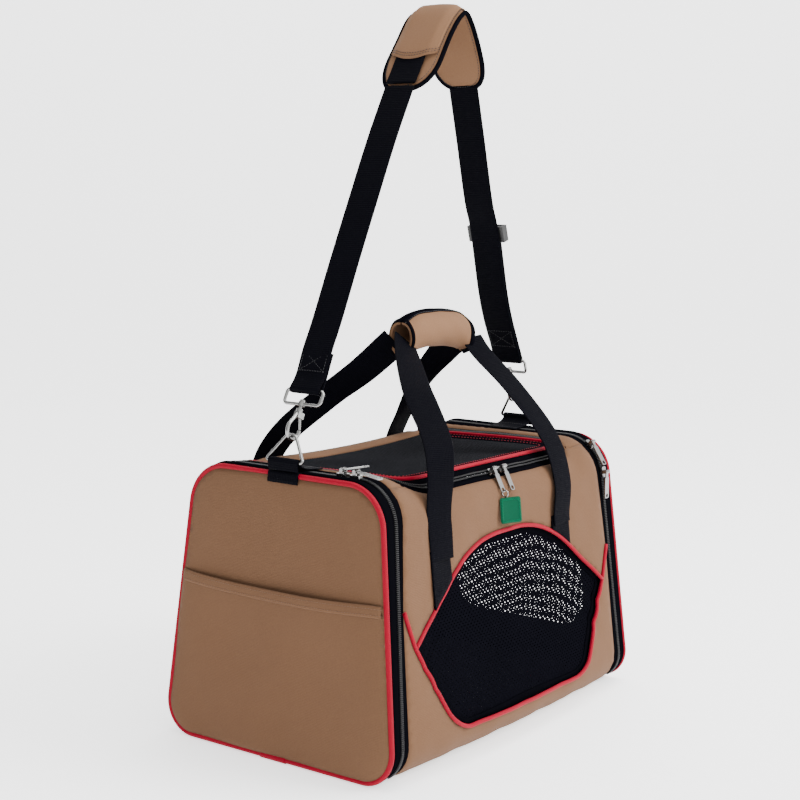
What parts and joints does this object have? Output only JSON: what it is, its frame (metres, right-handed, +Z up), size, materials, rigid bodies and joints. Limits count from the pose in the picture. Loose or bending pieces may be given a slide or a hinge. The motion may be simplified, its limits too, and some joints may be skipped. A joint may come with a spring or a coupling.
{
  "type": "pet transport carrier",
  "caption": "Soft-sided pet carrier: fabric cabin with mesh windows, fold-down zipped end doors, zipped mesh top flap, hand grips and a hooked shoulder strap.",
  "frame": {"origin": "middle of the base on the floor, between the two end doors and between the two long sides", "axes": "+X to the right-hand door (mesh window), -Y to the front side panel, +Z up"},
  "size_m": [0.4575, 0.2932, 0.745],
  "materials": {
    "tan_fabric": "woven, matt",
    "grip_fabric": "woven, matt, padded",
    "floor_board": "matt board",
    "floor_fleece": "short fleece",
    "black_mesh": "open knitted mesh",
    "red_piping": "fine woven piping",
    "zipper_tape": "woven tape",
    "black_binding": "grosgrain binding",
    "black_webbing": "ribbed webbing",
    "spring_wire": "spring wire",
    "nickel_plate": "nickel plated",
    "black_plastic": "moulded, satin",
    "tag_label": "plain woven label"
  },
  "bodies": {
    "carrier_body": {"base_panel": "tan_fabric", "base_board": "floor_board", "floor_mat": "floor_fleece", "front_lower_panel": "tan_fabric", "back_lower_panel": "tan_fabric", "front_upper_panel": "tan_fabric", "back_upper_panel": "tan_fabric", "top_panel": "tan_fabric", "front_window_mesh": "black_mesh", "back_window_mesh": "black_mesh", "front_piping": "red_piping", "back_piping": "red_piping", "end_body_tapes": "zipper_tape", "flap_body_tape": "zipper_tape", "ring_tabs": "black_webbing", "handle_strips": "black_webbing"},
    "left_door": {"left_end_panel": "tan_fabric", "left_pocket": "tan_fabric", "left_piping": "red_piping", "left_outer_tape": "zipper_tape", "left_frame_wire": "spring_wire", "left_tab_patch": "black_webbing"},
    "right_door": {"right_end_panel": "tan_fabric", "right_window_mesh": "black_mesh", "right_piping": "red_piping", "right_outer_tape": "zipper_tape", "right_frame_wire": "spring_wire", "right_tab_patch": "black_webbing"},
    "top_flap": {"flap_mesh": "black_mesh", "flap_binding": "black_binding", "flap_piping": "red_piping", "flap_tape": "zipper_tape"},
    "top_slider_left": {"top_slider_left": "nickel_plate"},
    "top_slider_right": {"top_slider_right": "nickel_plate"},
    "top_puller_left": {"top_puller_left": "nickel_plate", "name_tag": "tag_label"},
    "top_puller_right": {"top_puller_right": "nickel_plate"},
    "left_slider_rear": {"left_slider_rear": "nickel_plate"},
    "left_slider_front": {"left_slider_front": "nickel_plate"},
    "left_puller_rear": {"left_puller_rear": "nickel_plate"},
    "left_puller_front": {"left_puller_front": "nickel_plate"},
    "right_slider_high": {"right_slider_high": "nickel_plate"},
    "right_slider_low": {"right_slider_low": "nickel_plate"},
    "right_puller_high": {"right_puller_high": "nickel_plate"},
    "right_puller_low": {"right_puller_low": "nickel_plate"},
    "front_handle": {"front_handle_webbing": "black_webbing", "front_grip": "grip_fabric"},
    "back_handle": {"back_handle_webbing": "black_webbing", "back_grip": "grip_fabric"},
    "shoulder_strap": {"strap_webbing": "black_webbing", "shoulder_pad": "grip_fabric", "strap_loops": "nickel_plate"},
    "strap_adjuster": {"strap_adjuster": "black_plastic"},
    "left_hook": {"left_hook": "nickel_plate"},
    "left_gate": {"left_gate": "nickel_plate"},
    "right_hook": {"right_hook": "nickel_plate"},
    "right_gate": {"right_gate": "nickel_plate"},
    "left_ring": {"left_ring": "nickel_plate"},
    "right_ring": {"right_ring": "nickel_plate"}
  },
  "joints": [
    {"name": "left_door_hinge", "type": "hinge", "parent": "carrier_body", "child": "left_door", "pos_m": [-0.229, 0, 0.0036], "axis": [0, -1, 0], "range_deg": [0, 90]},
    {"name": "right_door_hinge", "type": "hinge", "parent": "carrier_body", "child": "right_door", "pos_m": [0.229, 0, 0.0036], "axis": [0, 1, 0], "range_deg": [0, 90]},
    {"name": "top_flap_hinge", "type": "hinge", "parent": "carrier_body", "child": "top_flap", "pos_m": [0, 0.1005, 0.2795], "axis": [-1, 0, 0], "range_deg": [0, 90]},
    {"name": "front_handle_fold", "type": "hinge", "parent": "carrier_body", "child": "front_handle", "pos_m": [0, -0.12921, 0.211], "axis": [1, 0, 0], "range_deg": [0, 135]},
    {"name": "back_handle_fold", "type": "hinge", "parent": "carrier_body", "child": "back_handle", "pos_m": [0, 0.12921, 0.211], "axis": [-1, 0, 0], "range_deg": [0, 135]},
    {"name": "strap_swing", "type": "hinge", "parent": "carrier_body", "child": "shoulder_strap", "pos_m": [0, 0, 0.31731], "axis": [1, 0, 0], "range_deg": [0, 90]},
    {"name": "adjuster_slide", "type": "slide", "parent": "shoulder_strap", "child": "strap_adjuster", "axis": [-0.3101, 0, 0.9507], "range_m": [-0.1, 0.12]},
    {"name": "left_hook_swivel", "type": "hinge", "parent": "shoulder_strap", "child": "left_hook", "pos_m": [-0.20264, 0, 0.31731], "axis": [0.4499, 0, 0.8931], "range_deg": [-2.5, 2.5]},
    {"name": "right_hook_swivel", "type": "hinge", "parent": "shoulder_strap", "child": "right_hook", "pos_m": [0.20264, 0, 0.31731], "axis": [-0.3101, 0, 0.9507], "range_deg": [-2.5, 2.5]},
    {"name": "left_gate_pivot", "type": "hinge", "parent": "left_hook", "child": "left_gate", "pos_m": [-0.18863, 0, 0.33713], "axis": [0, 1, 0], "range_deg": [0, 20], "stiffness_Nm_per_rad": 0.02},
    {"name": "right_gate_pivot", "type": "hinge", "parent": "right_hook", "child": "right_gate", "pos_m": [0.19178, 0, 0.33901], "axis": [0, -1, 0], "range_deg": [0, 20], "stiffness_Nm_per_rad": 0.02},
    {"name": "left_ring_tilt", "type": "hinge", "parent": "carrier_body", "child": "left_ring", "pos_m": [-0.212, 0, 0.2963], "axis": [0, 1, 0], "range_deg": [-1.5, 0.9]},
    {"name": "right_ring_tilt", "type": "hinge", "parent": "carrier_body", "child": "right_ring", "pos_m": [0.212, 0, 0.2963], "axis": [0, 1, 0], "range_deg": [-0.9, 1.5]},
    {"name": "top_slider_left_run", "type": "slide", "parent": "top_flap", "child": "top_slider_left", "axis": [-1, 0, 0], "range_m": [0, 0.08]},
    {"name": "top_slider_right_run", "type": "slide", "parent": "top_flap", "child": "top_slider_right", "axis": [1, 0, 0], "range_m": [0, 0.055]},
    {"name": "top_puller_left_lift", "type": "hinge", "parent": "top_slider_left", "child": "top_puller_left", "pos_m": [-0.009, -0.11026, 0.27558], "axis": [-1, 0, 0], "range_deg": [0, 130]},
    {"name": "top_puller_right_lift", "type": "hinge", "parent": "top_slider_right", "child": "top_puller_right", "pos_m": [0.009, -0.11026, 0.27558], "axis": [-1, 0, 0], "range_deg": [0, 130]},
    {"name": "left_slider_rear_run", "type": "slide", "parent": "left_door", "child": "left_slider_rear", "axis": [0, 1, 0], "range_m": [0, 0.024]},
    {"name": "left_slider_front_run", "type": "hinge", "parent": "left_door", "child": "left_slider_front", "pos_m": [-0.1923, -0.07808, 0.24], "axis": [1, 0, 0], "range_deg": [0, 60]},
    {"name": "left_puller_rear_lift", "type": "hinge", "parent": "left_slider_rear", "child": "left_puller_rear", "pos_m": [-0.1923, -0.057, 0.2922], "axis": [-1, 0, 0], "range_deg": [0, 150]},
    {"name": "left_puller_front_lift", "type": "hinge", "parent": "left_slider_front", "child": "left_puller_front", "pos_m": [-0.1923, -0.073, 0.2922], "axis": [-1, 0, 0], "range_deg": [0, 135]},
    {"name": "right_slider_high_run", "type": "hinge", "parent": "right_door", "child": "right_slider_high", "pos_m": [0.19298, -0.07808, 0.24], "axis": [-1, 0, 0], "range_deg": [0, 32]},
    {"name": "right_slider_low_run", "type": "slide", "parent": "right_door", "child": "right_slider_low", "axis": [0, -0.1022, -0.9948], "range_m": [0, 0.19]},
    {"name": "right_puller_high_lift", "type": "hinge", "parent": "right_slider_high", "child": "right_puller_high", "pos_m": [0.19298, -0.11164, 0.27999], "axis": [-1, 0, 0], "range_deg": [0, 120]},
    {"name": "right_puller_low_lift", "type": "hinge", "parent": "right_slider_low", "child": "right_puller_low", "pos_m": [0.19509, -0.12987, 0.24674], "axis": [-1, 0, 0], "range_deg": [0, 120]}
  ],
  "couplings": [
    {"joint": "front_handle_fold", "follows": "top_flap_hinge", "ratio": 1.5},
    {"joint": "back_handle_fold", "follows": "top_flap_hinge", "ratio": 1.5},
    {"joint": "strap_swing", "follows": "top_flap_hinge", "ratio": 1},
    {"joint": "left_puller_front_lift", "follows": "left_puller_rear_lift", "ratio": 0.9}
  ]
}
